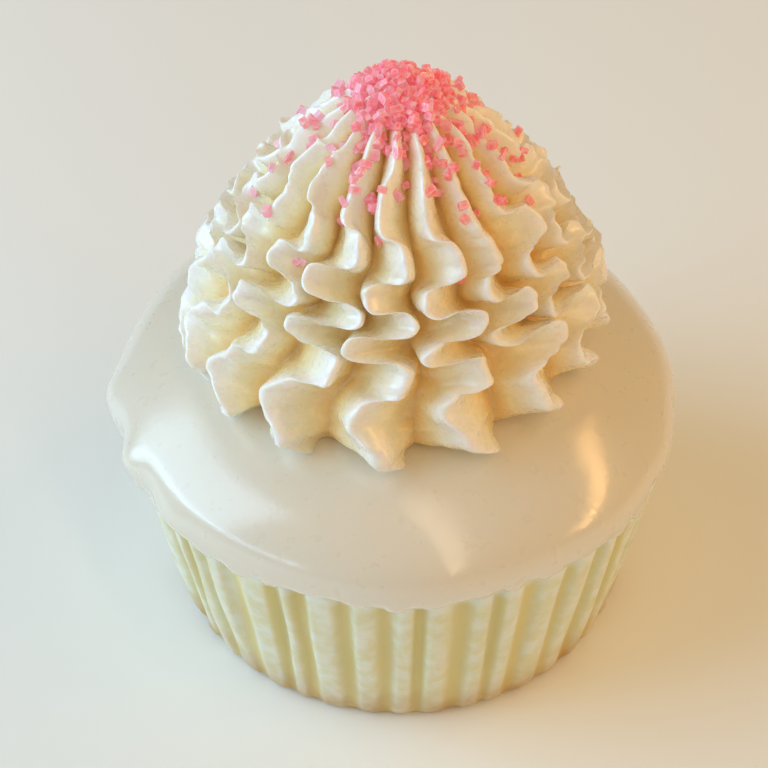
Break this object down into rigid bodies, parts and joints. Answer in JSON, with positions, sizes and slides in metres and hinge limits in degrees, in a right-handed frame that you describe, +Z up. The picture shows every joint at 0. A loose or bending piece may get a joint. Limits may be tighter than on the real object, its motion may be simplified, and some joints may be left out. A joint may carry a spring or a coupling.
{
  "type": "cupcake",
  "caption": "Cupcake in a pleated paper case, with a smooth white glaze that laps over the rim and a tall dome of star-piped ruffled buttercream.",
  "frame": {"origin": "on the table, under the middle of the glaze's outline, at the middle of the flat underside of the paper case", "axes": "+Z up to the icing's peak; -Y is the side that faces the viewer in the reference view; +X is that viewer's right"},
  "size_m": [0.0746, 0.0746, 0.082],
  "materials": {
    "paper": "thin greaseproof paper, matt, white on the pleats, with the yellow sponge showing through in between and browned near the base",
    "sponge": null,
    "white_glaze": null,
    "ivory_icing": null
  },
  "bodies": {
    "root": {"paper_case": "paper", "cake": "sponge", "glaze": "white_glaze", "buttercream": "ivory_icing"}
  },
  "joints": []
}
